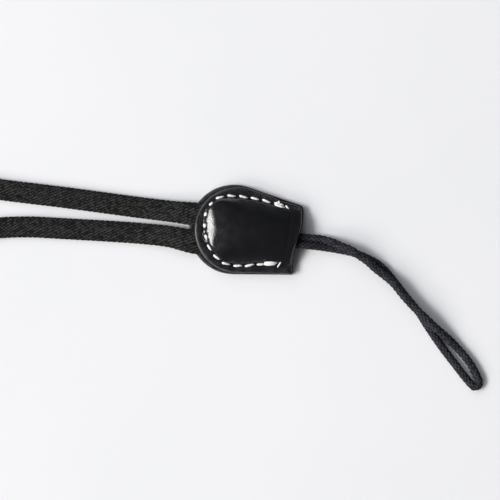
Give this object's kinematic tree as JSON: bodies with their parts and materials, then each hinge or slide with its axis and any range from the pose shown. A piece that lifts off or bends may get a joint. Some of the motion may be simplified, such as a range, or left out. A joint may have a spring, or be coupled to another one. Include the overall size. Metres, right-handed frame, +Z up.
{
  "type": "camera wrist strap",
  "caption": "Flat woven wrist loop held in a stitched leather tab, with a thin braided cord loop for a camera's strap lug.",
  "frame": {"origin": "on the flat underside of the leather tab, midway between its flanks", "axes": "+X along the tab towards its open mouth and the cord, +Z up, away from the surface that the strap lies on"},
  "size_m": [0.2248, 0.0426, 0.0066],
  "materials": {
    "leather": "smooth, glossy black, with a fine grain and burnished edges",
    "webbing": "matt black diagonal weave",
    "cord": "matt black round braid",
    "thread": "waxed off-white thread"
  },
  "bodies": {
    "root": {"lower_leather": "leather", "upper_leather": "leather", "wrist_webbing": "webbing", "cord_loop": "cord", "cord_knot": "cord"}
  },
  "joints": []
}
